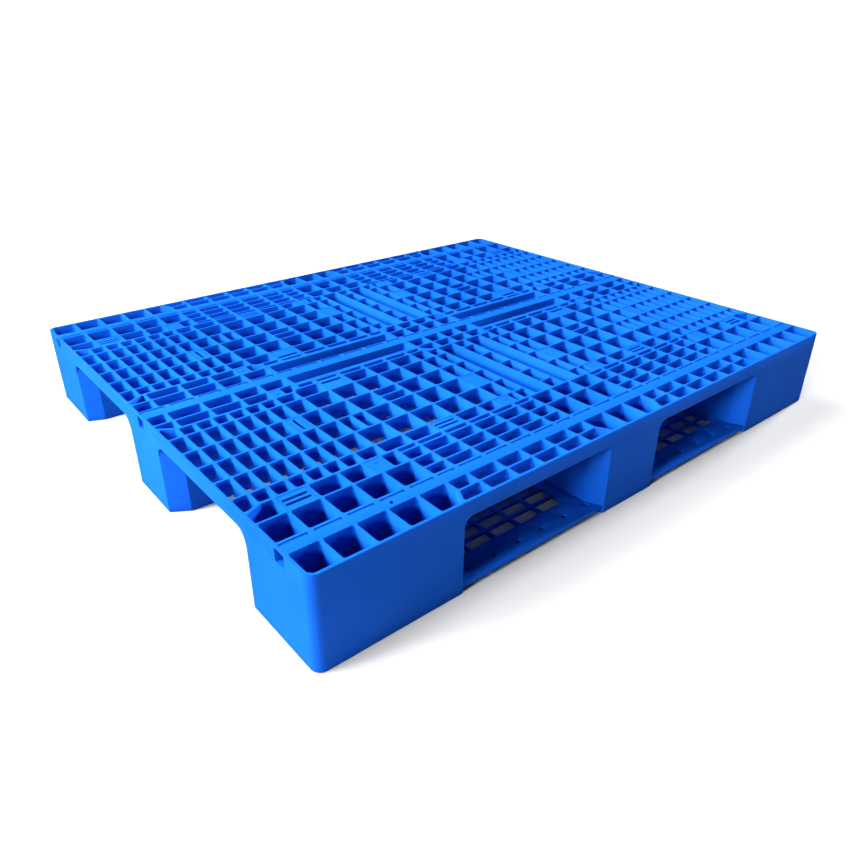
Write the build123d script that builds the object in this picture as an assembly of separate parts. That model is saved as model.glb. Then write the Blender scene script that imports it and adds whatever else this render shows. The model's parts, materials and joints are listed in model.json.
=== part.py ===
"""Nine-legged plastic pallet, 1200 x 1000 x 150 mm, on three bottom runners.

Plan positions are measured from the near left corner: x along the length, y along the width.
The finished pieces are moved so that the origin is the centre of the footprint, on the ground.
"""
import math
import os

from build123d import *

# Overall size
LENGTH = 1200.0
WIDTH = 1000.0
HEIGHT = 150.0

# Moulding
DECK_DEPTH = 25.0
RUNNER_DEPTH = 14.0
RIM = 5.0
WALL = 5.0
RIB = 4.0
SKIN = 3.0
CORNER_RADIUS = 15.0

# Legs, as the outer faces of the quarter nearest the plan origin
LEG_X = 248.5
LEG_Y = 168.5
MID_LEG_X = 522.5
MID_LEG_Y = 422.5
CENTRE_LEG_X = 517.5
LEAD_IN_ALONG_X = 14.5
LEAD_IN_ALONG_Y = 12.5
LEAD_IN_REACH_X = 30.0
LEAD_IN_REACH_Y = 28.0
MID_LEAD_IN = 18.5
INNER_CHAMFER_X = 15.5
INNER_CHAMFER_Y = 17.5
CENTRE_CHAMFER = 17.5

# Reinforcing tubes and their channels
TUBE_SIZE = 20.0
TUBE_WALL = 1.5
TUBE_CORNER = 2.0
TUBE_Y = 66.0
CHANNEL_WIDTH = 22.0
CHANNEL_FLOOR = 1.5
CHANNEL_HEIGHT = 20.5
CHANNEL_WALL_LINE = 12.0
MID_CHANNEL_LINE = 13.0
TUBE_RECESS = 20.0
GROOVE_DEPTH = 1.6
GROOVE_ROWS = [(70, 75), (WIDTH - 75, WIDTH - 70), (501, 512)]
GROOVE_MARGIN = 4.0

# Plugs in the ends of the tubes
PLUG_FLANGE = 3.0
PLUG_SPIGOT = 14.0
PLUG_CLEARANCE = 0.2

# Runner bars between the feet
BAR_UNDERSIDE = 7.0
BAR_SETBACK = 2.0
BAR_ROOT = 2.0
BAR_HOLE_RADIUS = 4.0
BAR_HOLE_Y = 22.0
BAR_HOLES = 6
BAR_PITCH = 51.0
BAR_FIRST_HOLE = 263.0
BAR_RIB_LINES = [246.5, 296, 347, 398, 449, 500]
BAR_ROW_LINES = [49, 75, 101, 124]
MID_BAR_ROW_LINES = [452, 484, 516, 548]

# Screws that hold the runners
SCREW_RADIUS = 2.5
SCREW_CLEARANCE = 0.1
SCREW_HEAD_RADIUS = 6.0
SCREW_HEAD = 3.4
SCREW_TIP = 45.0
PILOT_TOP = 48.0
DRIVE_RADIUS = 2.5
DRIVE_DEPTH = 2.0
SCREW_SEAT = 5.0
SEAT_RADIUS = 6.5
PASS_RADIUS = 3.1
LEG_BOSS_RADIUS = 7.0
LEG_BOSS_TOP = 60.0
FOOT_BOSS_RADIUS = 9.0
DRAIN_RADIUS = 4.0

# Corner gussets of the fork openings, on the outer faces
END_GUSSET = 20.0
SIDE_GUSSET = 14.0
GUSSET_LIP = 0.5

# How far a cut runs past the face that it opens
OVERCUT = 1.0

# Rib lines of the quarter nearest the plan origin
EDGE_LINE = RIM - RIB / 2
EDGE_ROW = 28.0
LEG_ROW = 128.0
MID_LEG_ROW = 454.0
PLATE_LINES = [188.0, 218.0]
TUBE_LINES = [TUBE_Y - CHANNEL_WALL_LINE, TUBE_Y + CHANNEL_WALL_LINE]
MID_TUBE_LINES = [WIDTH / 2 - MID_CHANNEL_LINE, WIDTH / 2 + MID_CHANNEL_LINE]
CORNER_LEG_LINES = [0, 49.2, 98.4, 147.6, 196.8, LEG_X]
END_LEG_LINES = [0, 36, 95, 150, 198, LEG_X]
SIDE_LEG_LINES = [MID_LEG_X, 575, 625, LENGTH - MID_LEG_X]
CENTRE_LEG_LINES = [CENTRE_LEG_X, 560, 600, 640, LENGTH - CENTRE_LEG_X]
GAP_LINES = [LEG_X - RIB / 2, 284, 336, 386, 436, 486, MID_LEG_X + RIB / 2]
GAP_ROWS = [TUBE_LINES[1], 101, LEG_ROW, 154, 166]
END_LINES = [EDGE_LINE, 29, 56, 84, 111, 139, 167, 195, 232]
FIELD_LINES = [232, 283, 334, 385, 435, 485, 518, 545]
ROW_LINES = [LEG_Y - RIB / 2, 196, 246, 296, 346, 396]
LAST_ROW = MID_LEG_Y + RIB / 2
SLOT_ROWS = [396, 433, 447]


def box_outline(x0, x1, y0, y1):
    """Corners of an upright rectangle, anticlockwise."""
    return [(x0, y0), (x1, y0), (x1, y1), (x0, y1)]


def keep_left(points, start, end, gap=0.0):
    """Part of a convex outline that lies more than gap to the left of the line start to end."""
    run_x = end[0] - start[0]
    run_y = end[1] - start[1]
    run = math.hypot(run_x, run_y)
    sides = [(run_x * (y - start[1]) - run_y * (x - start[0])) / run - gap for x, y in points]
    kept = []
    for i, (x, y) in enumerate(points):
        j = (i + 1) % len(points)
        if sides[i] >= 0:
            kept.append((x, y))
        if sides[i] * sides[j] < 0:
            part = sides[i] / (sides[i] - sides[j])
            kept.append((x + part * (points[j][0] - x), y + part * (points[j][1] - y)))
    return kept


def inside(points, outline, gap):
    """Part of a convex outline that lies inside another one by at least gap."""
    for start, end in zip(outline, outline[1:] + outline[:1]):
        points = keep_left(points, start, end, gap)
    return points


def grid(x_lines, y_lines):
    """Openings between neighbouring rib lines."""
    cells = []
    for x0, x1 in zip(x_lines, x_lines[1:]):
        for y0, y1 in zip(y_lines, y_lines[1:]):
            cells.append(box_outline(x0 + RIB / 2, x1 - RIB / 2, y0 + RIB / 2, y1 - RIB / 2))
    return cells


def turned(points, flip_x, flip_y):
    """Outline mirrored to another quarter, kept anticlockwise."""
    moved = [(LENGTH - x if flip_x else x, WIDTH - y if flip_y else y) for x, y in points]
    return moved[::-1] if flip_x != flip_y else moved


def middle(points):
    """Mean of an outline's corners."""
    return sum(p[0] for p in points) / len(points), sum(p[1] for p in points) / len(points)


def all_quarters(outlines):
    """Every outline in all four quarters, once each."""
    found = {}
    for points in outlines:
        for flip_x in (False, True):
            for flip_y in (False, True):
                copy = turned(points, flip_x, flip_y)
                x, y = middle(copy)
                found.setdefault((round(x, 2), round(y, 2)), copy)
    return list(found.values())


# Leg outlines, anticlockwise, with lead-in chamfers beside the fork openings
ROUND_CUT = CORNER_RADIUS * (2 - math.sqrt(2))
CORNER_LEG = [(0, 0), (LEG_X - LEAD_IN_ALONG_X, 0), (LEG_X, LEAD_IN_REACH_Y), (LEG_X, LEG_Y),
              (LEAD_IN_REACH_X, LEG_Y), (0, LEG_Y - LEAD_IN_ALONG_Y)]
CORNER_LEG_ROUNDED = [(ROUND_CUT, 0)] + CORNER_LEG[1:] + [(0, ROUND_CUT)]
SIDE_LEG = [(MID_LEG_X + LEAD_IN_ALONG_X, 0), (LENGTH - MID_LEG_X - LEAD_IN_ALONG_X, 0),
            (LENGTH - MID_LEG_X, LEAD_IN_REACH_Y), (LENGTH - MID_LEG_X, LEG_Y),
            (MID_LEG_X, LEG_Y), (MID_LEG_X, LEAD_IN_REACH_Y)]
END_LEG = [(0, MID_LEG_Y + MID_LEAD_IN), (LEAD_IN_REACH_X, MID_LEG_Y),
           (LEG_X - INNER_CHAMFER_X, MID_LEG_Y), (LEG_X, MID_LEG_Y + INNER_CHAMFER_Y),
           (LEG_X, WIDTH - MID_LEG_Y - INNER_CHAMFER_Y),
           (LEG_X - INNER_CHAMFER_X, WIDTH - MID_LEG_Y), (LEAD_IN_REACH_X, WIDTH - MID_LEG_Y),
           (0, WIDTH - MID_LEG_Y - MID_LEAD_IN)]
CENTRE_LEG = [(CENTRE_LEG_X + CENTRE_CHAMFER, MID_LEG_Y),
              (LENGTH - CENTRE_LEG_X - CENTRE_CHAMFER, MID_LEG_Y),
              (LENGTH - CENTRE_LEG_X, MID_LEG_Y + CENTRE_CHAMFER),
              (LENGTH - CENTRE_LEG_X, WIDTH - MID_LEG_Y - CENTRE_CHAMFER),
              (LENGTH - CENTRE_LEG_X - CENTRE_CHAMFER, WIDTH - MID_LEG_Y),
              (CENTRE_LEG_X + CENTRE_CHAMFER, WIDTH - MID_LEG_Y),
              (CENTRE_LEG_X, WIDTH - MID_LEG_Y - CENTRE_CHAMFER),
              (CENTRE_LEG_X, MID_LEG_Y + CENTRE_CHAMFER)]

# Solid plates of the deck, each with the slots moulded through it and its raised gate mark
PLATE_SINK = 0.8
GATE_RADIUS = 3.5
PLATES = [
    (box_outline(51.2, 96.4, 130, 163.5),
     [box_outline(54, 93, 139, 144), box_outline(54, 93, 149.5, 154.5)], None),
    (box_outline(336, 383, 168.5, 194),
     [box_outline(339, 380, 174, 178.5), box_outline(339, 380, 184, 188.5)], None),
    (box_outline(285, 332, 398, 446),
     [box_outline(288, 329, 423, 430), box_outline(288, 329, 438, 444)], None),
    (box_outline(169, 193, 298, 344), [box_outline(178, 184, 303, 339)], None),
    (box_outline(487, 516, 248, 294), [], None),
    (box_outline(190, 216, 130, 163.5), [], (204, 156)),
    (box_outline(200, 216, 427.5, 452), [], (207, 438)),
    (box_outline(472, 498, 168.5, 194), [], (488, 184)),
]

# Small pick-out hole in the cover of the near channel, at one place only
NICK = (159, 165, 58, 64)
NICK_DEPTH = 5.0


def leg_grid(x_lines, y_lines, outline):
    """Openings of one leg, trimmed to leave its outer wall."""
    return [inside(cell, outline, WALL) for cell in grid(x_lines, y_lines)]


def corner_leg_cells():
    """Deck openings over a corner leg: two deep rows, then a row broken up by plates."""
    cells = []
    for rows in ([0, TUBE_LINES[0]], [TUBE_LINES[1], LEG_ROW]):
        cells += leg_grid(CORNER_LEG_LINES, rows, CORNER_LEG_ROUNDED)
    for x_lines in ([0, 49.2], [98.4, 147.6, PLATE_LINES[0]], [PLATE_LINES[1], LEG_X]):
        cells += leg_grid(x_lines, [LEG_ROW, LEG_Y], CORNER_LEG)
    return cells


def side_strip_cells():
    """Deck openings over the side fork opening, the end ones running to the legs' chamfers."""
    cells = grid(GAP_LINES[1:-1], [EDGE_LINE, EDGE_ROW])
    high = EDGE_ROW - RIB / 2
    first = box_outline(LEG_X - LEAD_IN_ALONG_X, GAP_LINES[1] - RIB / 2, RIM, high)
    cells.append(keep_left(first, CORNER_LEG[2], CORNER_LEG[1]))
    last = box_outline(GAP_LINES[-2] + RIB / 2, MID_LEG_X + LEAD_IN_ALONG_X, RIM, high)
    cells.append(keep_left(last, SIDE_LEG[0], SIDE_LEG[5]))
    cells += grid(GAP_LINES, [EDGE_ROW, TUBE_LINES[0]])
    cells += grid(GAP_LINES, GAP_ROWS)
    return cells


def end_strip_cells():
    """Close ribs of the deck over the end fork opening."""
    cells = grid(END_LINES[1:], ROW_LINES[:4])
    cells += grid(END_LINES[1:7], ROW_LINES[3:5])
    cells += grid(END_LINES[7:], ROW_LINES[3:5])
    cells += grid(END_LINES[1:], ROW_LINES[4:] + [LAST_ROW])
    cells += grid(END_LINES[:2], ROW_LINES[1:])
    low = box_outline(RIM, END_LINES[1] - RIB / 2, LEG_Y - LEAD_IN_ALONG_Y, ROW_LINES[1] - RIB / 2)
    cells.append(keep_left(low, CORNER_LEG[5], CORNER_LEG[4]))
    high = box_outline(RIM, END_LINES[1] - RIB / 2, ROW_LINES[5] + RIB / 2, MID_LEG_Y + MID_LEAD_IN)
    cells.append(keep_left(high, END_LEG[1], END_LEG[0]))
    return cells


def field_cells():
    """Main grid of the deck, with the places of its plates left out."""
    cells = grid(FIELD_LINES[:3], ROW_LINES[:2])
    cells += grid(FIELD_LINES[3:5], ROW_LINES[:2])
    cells += grid([FIELD_LINES[4], 470], ROW_LINES[:2])
    cells += grid([500] + FIELD_LINES[6:], ROW_LINES[:2])
    cells += grid(FIELD_LINES, ROW_LINES[1:3])
    cells += grid([FIELD_LINES[0], 257.5, FIELD_LINES[1]], ROW_LINES[2:4])
    cells += grid(FIELD_LINES[1:6], ROW_LINES[2:4])
    cells += grid(FIELD_LINES[6:], ROW_LINES[2:4])
    cells += grid(FIELD_LINES[:3], ROW_LINES[3:5])
    cells += grid(FIELD_LINES[2:4], [ROW_LINES[3], 321, ROW_LINES[4]])
    cells += grid(FIELD_LINES[3:], ROW_LINES[3:5])
    cells += grid(FIELD_LINES, ROW_LINES[4:])
    corner = box_outline(FIELD_LINES[0] + RIB / 2, FIELD_LINES[1] - RIB / 2,
                         SLOT_ROWS[0] + RIB / 2, SLOT_ROWS[1] - RIB / 2)
    cells.append(keep_left(corner, END_LEG[3], END_LEG[2]))
    cells += grid(FIELD_LINES[2:7], SLOT_ROWS[:2])
    cells += grid(FIELD_LINES[6:], [SLOT_ROWS[0], LAST_ROW])
    cells += grid([LEG_X, FIELD_LINES[1]], SLOT_ROWS[1:])
    cells += grid(FIELD_LINES[2:7], SLOT_ROWS[1:])
    return cells


def slot_cells():
    """Long slots beside the middle channel and between the fields, and the cells between those."""
    cells = [box_outline(252.5, 513, 455, MID_TUBE_LINES[0] - RIB / 2)]
    cells.append(box_outline(547, 583, LEG_Y, MID_LEG_Y))
    return cells + grid([585, 615], ROW_LINES + [LAST_ROW])


def mid_leg_cells():
    """Deck openings over the middle legs of a side and an end, and over the centre leg."""
    cells = []
    for rows in ([0, TUBE_LINES[0]], [TUBE_LINES[1], LEG_ROW, LEG_Y]):
        cells += leg_grid(SIDE_LEG_LINES, rows, SIDE_LEG)
    cells += leg_grid(END_LEG_LINES[:5], [MID_LEG_Y, MID_LEG_ROW], END_LEG)
    cells += leg_grid([PLATE_LINES[1], LEG_X], [MID_LEG_Y, MID_LEG_ROW], END_LEG)
    cells += leg_grid(END_LEG_LINES, [MID_LEG_ROW, MID_TUBE_LINES[0]], END_LEG)
    return cells + leg_grid(CENTRE_LEG_LINES, [MID_LEG_Y, MID_LEG_ROW, MID_TUBE_LINES[0]], CENTRE_LEG)


def deck_cells():
    """Every opening of the deck's top, slots of the plates included."""
    cells = corner_leg_cells() + side_strip_cells() + end_strip_cells() + field_cells()
    cells += slot_cells() + mid_leg_cells()
    for _, slots, _ in PLATES:
        cells += slots
    return all_quarters(cells)


def ring(points):
    """Closed wire through plan points."""
    return Wire.make_polygon([(x - LENGTH / 2, y - WIDTH / 2, 0) for x, y in points], close=True)


def slab(outline, holes, bottom, top):
    """Plate of an outline with holes, between two heights."""
    face = Face(ring(outline), [ring(hole) for hole in holes])
    return extrude(face, top - bottom, (0, 0, 1)).moved(Location((0, 0, bottom)))


def block(x0, x1, y0, y1, bottom, top):
    """Upright box given by its plan corners and heights."""
    centre = ((x0 + x1 - LENGTH) / 2, (y0 + y1 - WIDTH) / 2, (bottom + top) / 2)
    return Pos(*centre) * Box(x1 - x0, y1 - y0, top - bottom)


def post(x, y, radius, bottom, top):
    """Upright cylinder at a plan point."""
    return Pos(x - LENGTH / 2, y - WIDTH / 2, (bottom + top) / 2) * Cylinder(radius, top - bottom)


def round_outer_corners(shape):
    """Round the upright edges at the corners of the footprint."""
    def at_corner(edge):
        centre = edge.center()
        return (abs(abs(centre.X) - LENGTH / 2) < 0.01 and abs(abs(centre.Y) - WIDTH / 2) < 0.01)
    edges = shape.edges().filter_by(Axis.Z).filter_by(at_corner)
    return fillet(edges, CORNER_RADIUS) if edges else shape


def channel_cuts():
    """Bores of the three tube channels and the grooves in their covers."""
    floor = HEIGHT - DECK_DEPTH + CHANNEL_FLOOR
    side = CHANNEL_WIDTH / 2
    cuts = [block(-OVERCUT, LENGTH + OVERCUT, y - side, y + side, floor, floor + CHANNEL_HEIGHT)
            for y in (TUBE_Y, WIDTH / 2, WIDTH - TUBE_Y)]
    ribs = [0] + CORNER_LEG_LINES[1:5] + GAP_LINES + SIDE_LEG_LINES[1:2]
    ribs = sorted(ribs + [LENGTH - x for x in ribs])
    for x0, x1 in zip(ribs, ribs[1:]):
        for low, high in GROOVE_ROWS:
            cuts.append(block(x0 + GROOVE_MARGIN, x1 - GROOVE_MARGIN, low, high,
                              HEIGHT - GROOVE_DEPTH, HEIGHT + OVERCUT))
    return cuts


def plate_cuts():
    """Sunk tops of the plates and the space below them."""
    cuts = []
    for outline in all_quarters([plate for plate, _, _ in PLATES]):
        xs = [p[0] for p in outline]
        ys = [p[1] for p in outline]
        size = (min(xs), max(xs), min(ys), max(ys))
        top = HEIGHT - PLATE_SINK
        cuts.append(block(*size, HEIGHT - DECK_DEPTH - OVERCUT, top - SKIN))
        cuts.append(block(*size, top, HEIGHT + OVERCUT))
    return cuts


def make_deck():
    """Top grid with its rim, three tube channels and the recessed plates."""
    deck = slab(box_outline(0, LENGTH, 0, WIDTH), deck_cells(), HEIGHT - DECK_DEPTH, HEIGHT)
    nick = block(*NICK, HEIGHT - NICK_DEPTH, HEIGHT + OVERCUT)
    deck = deck - (channel_cuts() + plate_cuts() + [nick])
    gates = all_quarters([[gate] for _, _, gate in PLATES if gate])
    root = HEIGHT - PLATE_SINK - SKIN / 2
    deck = deck + [post(x, y, GATE_RADIUS, root, HEIGHT) for ((x, y),) in gates]
    return round_outer_corners(deck.solids()[0])


def leg_plan(kind):
    """Outline, rib lines and screw places of a leg of the quarter nearest the plan origin."""
    side_rows = [0] + TUBE_LINES + [LEG_ROW, LEG_Y]
    mid_rows = [MID_LEG_Y, MID_LEG_ROW] + MID_TUBE_LINES + [WIDTH - MID_LEG_ROW, WIDTH - MID_LEG_Y]
    side_screws = (TUBE_LINES[0], LEG_ROW)
    mid_screws = (MID_LEG_ROW, WIDTH - MID_LEG_ROW)
    plans = {
        "corner": (CORNER_LEG, CORNER_LEG_LINES, side_rows, (49.2, 196.8), side_screws),
        "side": (SIDE_LEG, SIDE_LEG_LINES, side_rows, (575, 625), side_screws),
        "end": (END_LEG, END_LEG_LINES, mid_rows, (36, 198), mid_screws),
        "centre": (CENTRE_LEG, CENTRE_LEG_LINES, mid_rows, (560, 640), mid_screws),
    }
    return plans[kind]


# Name, kind of leg, and whether it is mirrored in x and in y
LEGS = [
    ("near_left", "corner", False, False), ("near_mid", "side", False, False),
    ("near_right", "corner", True, False), ("mid_left", "end", False, False),
    ("centre", "centre", False, False), ("mid_right", "end", True, False),
    ("far_left", "corner", False, True), ("far_mid", "side", False, True),
    ("far_right", "corner", True, True),
]


def screw_places(kind, flip_x, flip_y):
    """Plan positions of a leg's screws."""
    _, _, _, xs, ys = leg_plan(kind)
    return [turned([(x, y)], flip_x, flip_y)[0] for x in xs for y in ys]


def make_leg(kind, flip_x, flip_y):
    """Hollow ribbed leg with four screw bosses, from the runner to the deck."""
    outline, x_lines, y_lines, _, _ = leg_plan(kind)
    bounds = CORNER_LEG_ROUNDED if kind == "corner" else outline
    cells = [turned(cell, flip_x, flip_y) for cell in leg_grid(x_lines, y_lines, bounds)]
    leg = slab(turned(outline, flip_x, flip_y), cells, RUNNER_DEPTH, HEIGHT - DECK_DEPTH)
    places = screw_places(kind, flip_x, flip_y)
    leg = leg + [post(x, y, LEG_BOSS_RADIUS, RUNNER_DEPTH, LEG_BOSS_TOP) for x, y in places]
    pilot = SCREW_RADIUS + SCREW_CLEARANCE
    leg = leg - [post(x, y, pilot, RUNNER_DEPTH - OVERCUT, PILOT_TOP) for x, y in places]
    return round_outer_corners(leg.solids()[0])


def make_foot(kind, flip_x, flip_y):
    """Shallow tray under one leg, with ribs under the leg's ribs and a drain in each pocket."""
    outline, x_lines, y_lines, _, _ = leg_plan(kind)
    bounds = CORNER_LEG_ROUNDED if kind == "corner" else outline
    cells = [turned(cell, flip_x, flip_y) for cell in leg_grid(x_lines, y_lines, bounds)]
    plan = turned(outline, flip_x, flip_y)
    foot = slab(plan, [], 0, RUNNER_DEPTH)
    cuts = [slab(cell, [], SKIN, RUNNER_DEPTH + OVERCUT) for cell in cells]
    cuts += [post(*middle(cell), DRAIN_RADIUS, -OVERCUT, SKIN + OVERCUT) for cell in cells]
    foot = foot - cuts
    places = screw_places(kind, flip_x, flip_y)
    foot = foot + [post(x, y, FOOT_BOSS_RADIUS, 0, RUNNER_DEPTH) for x, y in places]
    foot = foot - [post(x, y, SEAT_RADIUS, -OVERCUT, SCREW_SEAT) for x, y in places]
    return foot - [post(x, y, PASS_RADIUS, -OVERCUT, RUNNER_DEPTH + OVERCUT) for x, y in places]


def bar_outline(in_middle):
    """Plan of the first bar of a runner, rooted in the feet and their chamfers on either side."""
    if in_middle:
        low = MID_LEG_Y + BAR_SETBACK
        return box_outline(LEG_X - WALL, CENTRE_LEG_X + WALL, low, WIDTH - low)
    left = LEG_X - BAR_ROOT
    right = MID_LEG_X + BAR_ROOT
    lead = LEAD_IN_ALONG_X * (1 - BAR_SETBACK / LEAD_IN_REACH_Y)
    high = LEG_Y - BAR_SETBACK
    return [(left - lead, BAR_SETBACK), (right + lead, BAR_SETBACK), (right, LEAD_IN_REACH_Y),
            (right, high), (left, high), (left, LEAD_IN_REACH_Y)]


def make_bar(flip_x, flip_y, in_middle):
    """Thin perforated bar between two feet of a runner."""
    holes = grid(BAR_RIB_LINES, MID_BAR_ROW_LINES if in_middle else BAR_ROW_LINES)
    outline = turned(bar_outline(in_middle), flip_x, flip_y)
    bar = slab(outline, [turned(h, flip_x, flip_y) for h in holes], BAR_UNDERSIDE, RUNNER_DEPTH)
    if in_middle:
        return bar
    xs = [BAR_FIRST_HOLE + BAR_PITCH * i for i in range(BAR_HOLES)]
    drills = [turned([(x, BAR_HOLE_Y)], flip_x, flip_y)[0] for x in xs]
    return bar - [post(x, y, BAR_HOLE_RADIUS, BAR_UNDERSIDE - OVERCUT, RUNNER_DEPTH + OVERCUT)
                  for x, y in drills]


def make_runner(row):
    """Three feet joined by two bars."""
    feet = [make_foot(kind, fx, fy) for name, kind, fx, fy in LEGS if runner_of(name) == row]
    bars = [make_bar(flip_x, row == "far", row == "mid") for flip_x in (False, True)]
    runner = feet[0] + feet[1:] + bars
    return round_outer_corners(runner.solids()[0])


def runner_of(leg_name):
    """Row of runners that a leg stands on."""
    row = leg_name.split("_")[0]
    return "mid" if row == "centre" else row


def make_tube(y):
    """Square steel tube, short of the deck's ends."""
    length = LENGTH - 2 * TUBE_RECESS
    outer = RectangleRounded(TUBE_SIZE, TUBE_SIZE, TUBE_CORNER)
    inner = RectangleRounded(TUBE_SIZE - 2 * TUBE_WALL, TUBE_SIZE - 2 * TUBE_WALL, TUBE_CORNER / 4)
    floor = HEIGHT - DECK_DEPTH + CHANNEL_FLOOR
    plane = Plane(origin=(-length / 2, y - WIDTH / 2, floor + TUBE_SIZE / 2), z_dir=(1, 0, 0))
    return extrude(plane * (outer - inner), length)


def make_plug(y, at_right):
    """Push-in plug of a tube's end: a thin flange and a spigot."""
    spigot = TUBE_SIZE - 2 * TUBE_WALL - 2 * PLUG_CLEARANCE
    centre = HEIGHT - DECK_DEPTH + CHANNEL_FLOOR + TUBE_SIZE / 2
    flange_x = -LENGTH / 2 + TUBE_RECESS - PLUG_FLANGE / 2
    spigot_x = -LENGTH / 2 + TUBE_RECESS + PLUG_SPIGOT / 2
    flange = Pos(flange_x, y - WIDTH / 2, centre) * Box(PLUG_FLANGE, TUBE_SIZE, TUBE_SIZE)
    stem = Pos(spigot_x, y - WIDTH / 2, centre) * Box(PLUG_SPIGOT, spigot, spigot)
    plug = flange + stem
    return plug.mirror(Plane.YZ) if at_right else plug


def make_screw(x, y):
    """Pan-head screw driven up from the runner's underside."""
    head = post(x, y, SCREW_HEAD_RADIUS, SCREW_SEAT - SCREW_HEAD, SCREW_SEAT)
    shank = post(x, y, SCREW_RADIUS, SCREW_SEAT, SCREW_TIP)
    bottom = SCREW_SEAT - SCREW_HEAD
    drive = post(x, y, DRIVE_RADIUS, bottom - OVERCUT, bottom + DRIVE_DEPTH)
    return head + shank - drive


def gusset(radius, corner, along, depth_axis):
    """Concave corner piece under the rim: corner is where the leg meets the deck."""
    far = [corner[0] + radius * along[0], corner[1] + radius * along[1]]
    x0, x1 = sorted((corner[0], far[0])) if along[0] else sorted((corner[0], corner[0] + depth_axis[0]))
    y0, y1 = sorted((corner[1], far[1])) if along[1] else sorted((corner[1], corner[1] + depth_axis[1]))
    top = HEIGHT - DECK_DEPTH
    piece = block(x0, x1, y0, y1, top - radius, top)
    centre = (far[0] - LENGTH / 2, far[1] - WIDTH / 2, top - radius)
    turn = Rotation(90, 0, 0) if along[0] else Rotation(0, 90, 0)
    hollow = Pos(*centre) * turn * Cylinder(radius - GUSSET_LIP, 2 * radius)
    legs = [slab(turned(leg_plan(kind)[0], fx, fy), [], 0, top) for _, kind, fx, fy in LEGS]
    return piece - hollow - legs


def make_gussets():
    """Gussets of all eight fork entries, by face."""
    groups = {"near": [], "far": [], "left": [], "right": []}
    side_x = [(LEG_X - LEAD_IN_ALONG_X, 1), (MID_LEG_X + LEAD_IN_ALONG_X, -1)]
    for x, way in side_x + [(LENGTH - x, -way) for x, way in side_x]:
        groups["near"].append(gusset(SIDE_GUSSET, (x, 0), (way, 0), (0, RIM)))
        groups["far"].append(gusset(SIDE_GUSSET, (x, WIDTH), (way, 0), (0, -RIM)))
    end_y = [(LEG_Y - LEAD_IN_ALONG_Y, 1), (MID_LEG_Y + MID_LEAD_IN, -1)]
    for y, way in end_y + [(WIDTH - y, -way) for y, way in end_y]:
        groups["left"].append(gusset(END_GUSSET, (0, y), (0, way), (RIM, 0)))
        groups["right"].append(gusset(END_GUSSET, (LENGTH, y), (0, way), (-RIM, 0)))
    return groups


def save(shape, name):
    """Write one node."""
    export_step(shape, os.path.join("parts", name + ".step"))


os.makedirs("parts", exist_ok=True)
save(make_deck(), "deck_grille")
for leg_name, leg_kind, mirror_x, mirror_y in LEGS:
    save(make_leg(leg_kind, mirror_x, mirror_y), "leg_" + leg_name)
for row_name, tube_y in (("near", TUBE_Y), ("mid", WIDTH / 2), ("far", WIDTH - TUBE_Y)):
    save(make_runner(row_name), "runner_" + row_name)
    save(make_tube(tube_y), "steel_tube_" + row_name)
    save(make_plug(tube_y, False), "tube_plug_" + row_name + "_left")
    save(make_plug(tube_y, True), "tube_plug_" + row_name + "_right")
    spots = [s for name, kind, fx, fy in LEGS if runner_of(name) == row_name
             for s in screw_places(kind, fx, fy)]
    save(Compound(children=[make_screw(x, y) for x, y in spots]), "runner_screws_" + row_name)
for face_name, pieces in make_gussets().items():
    save(Compound(children=pieces), "opening_gussets_" + face_name)
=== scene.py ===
"""Looks of the plastic pallet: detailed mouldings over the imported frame, materials and stage."""
import json
import math

import bmesh
import bpy
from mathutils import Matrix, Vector
from mathutils.geometry import delaunay_2d_cdt


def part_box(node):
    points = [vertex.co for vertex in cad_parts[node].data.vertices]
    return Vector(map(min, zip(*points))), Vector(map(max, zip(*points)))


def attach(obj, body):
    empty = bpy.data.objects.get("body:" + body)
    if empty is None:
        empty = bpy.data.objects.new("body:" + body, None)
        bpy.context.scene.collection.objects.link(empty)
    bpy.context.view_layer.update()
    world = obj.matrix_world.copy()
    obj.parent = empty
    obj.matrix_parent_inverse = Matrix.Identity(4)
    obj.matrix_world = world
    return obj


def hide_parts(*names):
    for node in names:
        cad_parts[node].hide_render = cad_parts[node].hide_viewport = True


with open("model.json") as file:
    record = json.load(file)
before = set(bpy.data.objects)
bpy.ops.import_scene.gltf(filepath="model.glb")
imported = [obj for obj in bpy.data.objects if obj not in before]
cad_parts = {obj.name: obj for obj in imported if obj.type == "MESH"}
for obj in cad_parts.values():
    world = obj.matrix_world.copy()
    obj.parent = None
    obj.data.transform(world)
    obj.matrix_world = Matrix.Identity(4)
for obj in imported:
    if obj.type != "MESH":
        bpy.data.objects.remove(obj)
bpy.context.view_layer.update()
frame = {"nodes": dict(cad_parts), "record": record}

# The shape is worked out in millimetres, in plan from the near left corner, and place() turns it
# into metres of the frame
MM = 0.001
deck_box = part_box("deck_grille")
LENGTH = round((deck_box[1][0] - deck_box[0][0]) / MM, 1)
WIDTH = round((deck_box[1][1] - deck_box[0][1]) / MM, 1)
HEIGHT = round(deck_box[1][2] / MM, 1)
DECK_BOTTOM = round(deck_box[0][2] / MM, 1)
RUNNER_TOP = round(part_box("runner_near")[1][2] / MM, 1)

# Moulding
RIM = 5.0
WALL = 5.0
RIB = 4.0
SKIN = 3.0
CORNER_RADIUS = 15.0
EDGE_RADIUS = 2.0
CELL_RADIUS = 3.0
BAR_RADIUS = 0.5
CORNER_STEPS = 6
CELL_STEPS = 3
CIRCLE_SIDES = 20
SEAT_SIDES = 28
SMALLEST_ARC = 0.2
LONGEST_TANGENT = 0.42
DRAFT = math.tan(math.radians(0.5))
SEAM = 0.5
SHARP_FROM = math.radians(40)

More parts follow.
